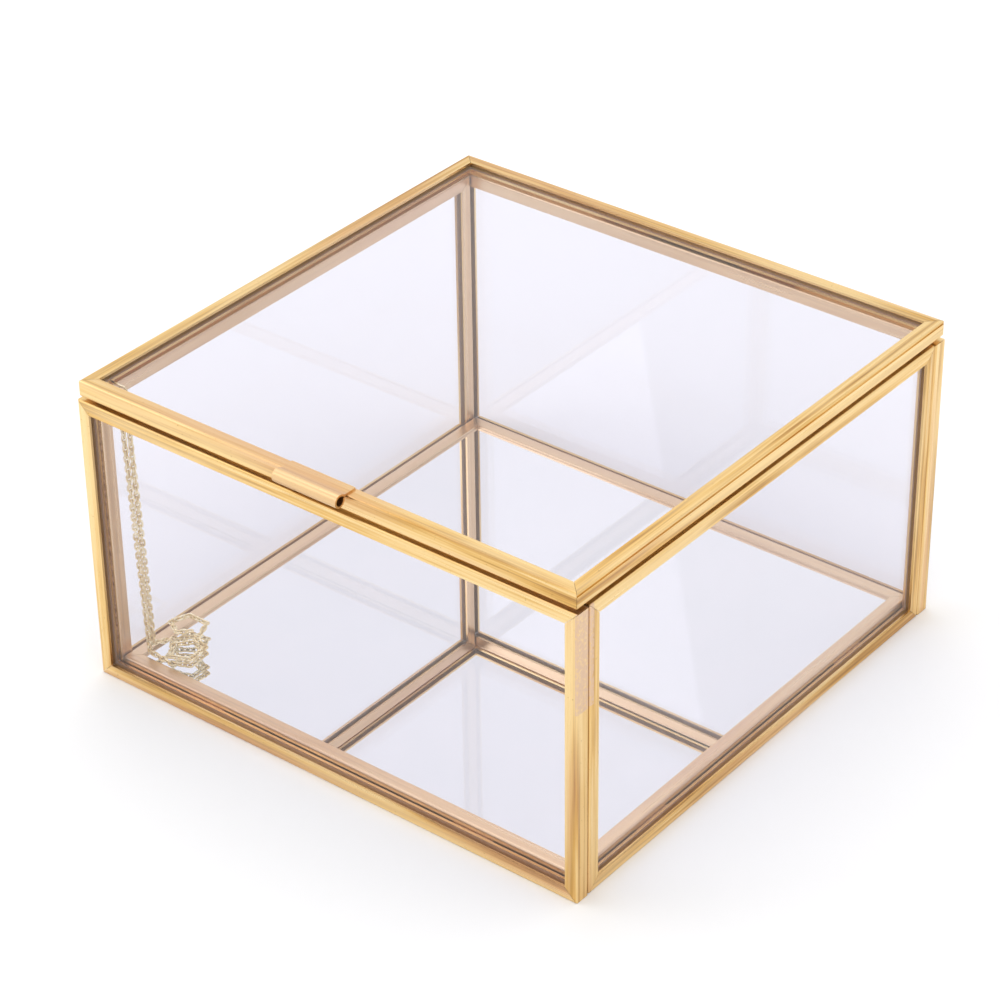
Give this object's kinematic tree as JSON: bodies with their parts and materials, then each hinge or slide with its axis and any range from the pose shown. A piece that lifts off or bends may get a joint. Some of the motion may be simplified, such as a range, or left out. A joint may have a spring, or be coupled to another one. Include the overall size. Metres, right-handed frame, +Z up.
{
  "type": "jewelry box",
  "caption": "Low square keepsake box of clear glass panes in folded brass channels, with a mirror floor, a hinged glass lid, a rolled pull tab and a stay chain.",
  "frame": {"origin": "middle of the bottom face of the closed box", "axes": "+X right seen from the front, +Y from the pull tab to the hinge, +Z up"},
  "size_m": [0.15, 0.157, 0.0866],
  "materials": {
    "brass": "satin, lengthwise brushed",
    "brass_wire": "polished",
    "solder": "rough, pitted",
    "chain": "polished",
    "glass": "clear",
    "mirror": "polished"
  },
  "bodies": {
    "box": {"back_bottom_rail": "brass", "back_left_stile": "brass", "back_pane": "glass", "back_right_stile": "brass", "back_top_rail": "brass", "box_chain_eye": "brass_wire", "box_hinge_solder": "solder", "box_knuckles": "brass", "corner_solder": "solder", "floor_back_rail": "brass", "floor_front_rail": "brass", "floor_left_rail": "brass", "floor_mirror": "mirror", "floor_right_rail": "brass", "floor_solder": "solder", "front_bottom_rail": "brass", "front_left_stile": "brass", "front_pane": "glass", "front_right_stile": "brass", "front_top_rail": "brass", "hinge_pin": "brass", "left_back_stile": "brass", "left_bottom_rail": "brass", "left_front_stile": "brass", "left_pane": "glass", "left_top_rail": "brass", "right_back_stile": "brass", "right_bottom_rail": "brass", "right_front_stile": "brass", "right_pane": "glass", "right_top_rail": "brass"},
    "lid": {"lid_back_rail": "brass", "lid_chain_eye": "brass_wire", "lid_front_rail": "brass", "lid_hinge_solder": "solder", "lid_knuckle": "brass", "lid_left_rail": "brass", "lid_pane": "glass", "lid_right_rail": "brass", "pull_tab": "brass"},
    "lid_chain_strand": {"lid_chain_strand": "chain"},
    "lid_chain_run_1": {"lid_chain_run_1": "chain"},
    "lid_chain_run_2": {"lid_chain_run_2": "chain"},
    "lid_chain_run_3": {"lid_chain_run_3": "chain"},
    "lid_chain_run_4": {"lid_chain_run_4": "chain"},
    "lid_chain_run_5": {"lid_chain_run_5": "chain"},
    "lid_chain_run_6": {"lid_chain_run_6": "chain"},
    "lid_chain_run_7": {"lid_chain_run_7": "chain"},
    "lid_chain_run_8": {"lid_chain_run_8": "chain"},
    "lid_chain_run_9": {"lid_chain_run_9": "chain"},
    "box_chain_strand": {"box_chain_strand": "chain"},
    "box_chain_run_1": {"box_chain_run_1": "chain"},
    "box_chain_run_2": {"box_chain_run_2": "chain"},
    "box_chain_run_3": {"box_chain_run_3": "chain"},
    "box_chain_run_4": {"box_chain_run_4": "chain"},
    "box_chain_run_5": {"box_chain_run_5": "chain"},
    "box_chain_run_6": {"box_chain_run_6": "chain"},
    "box_chain_run_7": {"box_chain_run_7": "chain"}
  },
  "joints": [
    {"name": "lid_hinge", "type": "hinge", "parent": "box", "child": "lid", "pos_m": [0, 0.0768, 0.0807], "axis": [-1, 0, 0], "range_deg": [0, 106.88], "deforming": ["lid_chain_strand", "lid_chain_run_1", "lid_chain_run_2", "lid_chain_run_3", "lid_chain_run_4", "lid_chain_run_5", "lid_chain_run_6", "lid_chain_run_7", "lid_chain_run_8", "lid_chain_run_9", "box_chain_strand", "box_chain_run_1", "box_chain_run_2", "box_chain_run_3", "box_chain_run_4", "box_chain_run_5", "box_chain_run_6", "box_chain_run_7"]},
    {"name": "lid_chain_strand_joint", "type": "hinge", "parent": "lid", "child": "lid_chain_strand", "pos_m": [-0.067, -0.0673, 0.079], "axis": [0.9995, 0.0152, 0.0264], "range_deg": [0, 54.51]},
    {"name": "lid_chain_run_1_joint", "type": "hinge", "parent": "lid_chain_strand", "child": "lid_chain_run_1", "pos_m": [-0.0651, -0.0659, 0.00624], "axis": [0.0013, 0.9998, 0.0193], "range_deg": [0, 85.55]},
    {"name": "lid_chain_run_2_joint", "type": "hinge", "parent": "lid_chain_run_1", "child": "lid_chain_run_2", "pos_m": [-0.05812, -0.0659, 0.00575], "axis": [-0.0649, 0.3679, -0.9276], "range_deg": [0, 21.94]},
    {"name": "lid_chain_run_3_joint", "type": "hinge", "parent": "lid_chain_run_2", "child": "lid_chain_run_3", "pos_m": [-0.05287, -0.06399, 0.00614], "axis": [0.0482, 0.0714, -0.9963], "range_deg": [0, 72.72]},
    {"name": "lid_chain_run_4_joint", "type": "hinge", "parent": "lid_chain_run_3", "child": "lid_chain_run_4", "pos_m": [-0.05306, -0.05841, 0.00653], "axis": [-0.053, 0.0679, -0.9963], "range_deg": [0, 72.72]},
    {"name": "lid_chain_run_5_joint", "type": "hinge", "parent": "lid_chain_run_4", "child": "lid_chain_run_5", "pos_m": [-0.05843, -0.05687, 0.00692], "axis": [-0.0809, -0.0295, -0.9963], "range_deg": [0, 72.72]},
    {"name": "lid_chain_run_6_joint", "type": "hinge", "parent": "lid_chain_run_5", "child": "lid_chain_run_6", "pos_m": [-0.06155, -0.0615, 0.00731], "axis": [0.003, -0.0861, -0.9963], "range_deg": [0, 72.72]},
    {"name": "lid_chain_run_7_joint", "type": "hinge", "parent": "lid_chain_run_6", "child": "lid_chain_run_7", "pos_m": [-0.05812, -0.0659, 0.0077], "axis": [0.0828, -0.0237, -0.9963], "range_deg": [0, 72.72]},
    {"name": "lid_chain_run_8_joint", "type": "hinge", "parent": "lid_chain_run_7", "child": "lid_chain_run_8", "pos_m": [-0.05287, -0.06399, 0.00809], "axis": [0.0482, 0.0714, -0.9963], "range_deg": [0, 72.72]},
    {"name": "lid_chain_run_9_joint", "type": "hinge", "parent": "lid_chain_run_8", "child": "lid_chain_run_9", "pos_m": [-0.05306, -0.05841, 0.00848], "axis": [-0.053, 0.0679, -0.9963], "range_deg": [0, 72.72]},
    {"name": "box_chain_strand_joint", "type": "hinge", "parent": "box", "child": "box_chain_strand", "pos_m": [-0.06636, -0.0657, 0.0764], "axis": [0.9999, -0.0062, 0.0124], "range_deg": [0, 128.11]},
    {"name": "box_chain_run_1_joint", "type": "hinge", "parent": "box_chain_strand", "child": "box_chain_run_1", "pos_m": [-0.0655, -0.0641, 0.00782], "axis": [-0.9663, 0.2573, -0.0061], "range_deg": [0, 75.47]},
    {"name": "box_chain_run_2_joint", "type": "hinge", "parent": "box_chain_run_1", "child": "box_chain_run_2", "pos_m": [-0.06374, -0.05754, 0.00613], "axis": [-0.3496, 0.3209, 0.8802], "range_deg": [0, 39.69]},
    {"name": "box_chain_run_3_joint", "type": "hinge", "parent": "box_chain_run_2", "child": "box_chain_run_3", "pos_m": [-0.05946, -0.05395, 0.00652], "axis": [0.0208, 0.0836, -0.9963], "range_deg": [0, 72.72]},
    {"name": "box_chain_run_4_joint", "type": "hinge", "parent": "box_chain_run_3", "child": "box_chain_run_4", "pos_m": [-0.06155, -0.04877, 0.00691], "axis": [-0.073, 0.0456, -0.9963], "range_deg": [0, 72.72]},
    {"name": "box_chain_run_5_joint", "type": "hinge", "parent": "box_chain_run_4", "child": "box_chain_run_5", "pos_m": [-0.06713, -0.04916, 0.0073], "axis": [-0.066, -0.0554, -0.9963], "range_deg": [0, 72.72]},
    {"name": "box_chain_run_6_joint", "type": "hinge", "parent": "box_chain_run_5", "child": "box_chain_run_6", "pos_m": [-0.06848, -0.05458, 0.00769], "axis": [0.0323, -0.0798, -0.9963], "range_deg": [0, 72.72]},
    {"name": "box_chain_run_7_joint", "type": "hinge", "parent": "box_chain_run_6", "child": "box_chain_run_7", "pos_m": [-0.06374, -0.05754, 0.00808], "axis": [0.0859, 0.006, -0.9963], "range_deg": [0, 72.72]}
  ],
  "couplings": [
    {"joint": "lid_chain_strand_joint", "follows": "lid_hinge", "ratio": 0.50312},
    {"joint": "lid_chain_run_1_joint", "follows": "lid_hinge", "ratio": 0.79064},
    {"joint": "lid_chain_run_2_joint", "follows": "lid_hinge", "ratio": 0.2014},
    {"joint": "lid_chain_run_3_joint", "follows": "lid_hinge", "ratio": 0.67176},
    {"joint": "lid_chain_run_4_joint", "follows": "lid_hinge", "ratio": 0.67176},
    {"joint": "lid_chain_run_5_joint", "follows": "lid_hinge", "ratio": 0.67176},
    {"joint": "lid_chain_run_6_joint", "follows": "lid_hinge", "ratio": 0.67176},
    {"joint": "lid_chain_run_7_joint", "follows": "lid_hinge", "ratio": 0.67176},
    {"joint": "lid_chain_run_8_joint", "follows": "lid_hinge", "ratio": 0.67176},
    {"joint": "lid_chain_run_9_joint", "follows": "lid_hinge", "ratio": 0.67176},
    {"joint": "box_chain_strand_joint", "follows": "lid_hinge", "ratio": 1.185},
    {"joint": "box_chain_run_1_joint", "follows": "lid_hinge", "ratio": 0.69725},
    {"joint": "box_chain_run_2_joint", "follows": "lid_hinge", "ratio": 0.36586},
    {"joint": "box_chain_run_3_joint", "follows": "lid_hinge", "ratio": 0.67176},
    {"joint": "box_chain_run_4_joint", "follows": "lid_hinge", "ratio": 0.67176},
    {"joint": "box_chain_run_5_joint", "follows": "lid_hinge", "ratio": 0.67176},
    {"joint": "box_chain_run_6_joint", "follows": "lid_hinge", "ratio": 0.67176},
    {"joint": "box_chain_run_7_joint", "follows": "lid_hinge", "ratio": 0.67176}
  ]
}
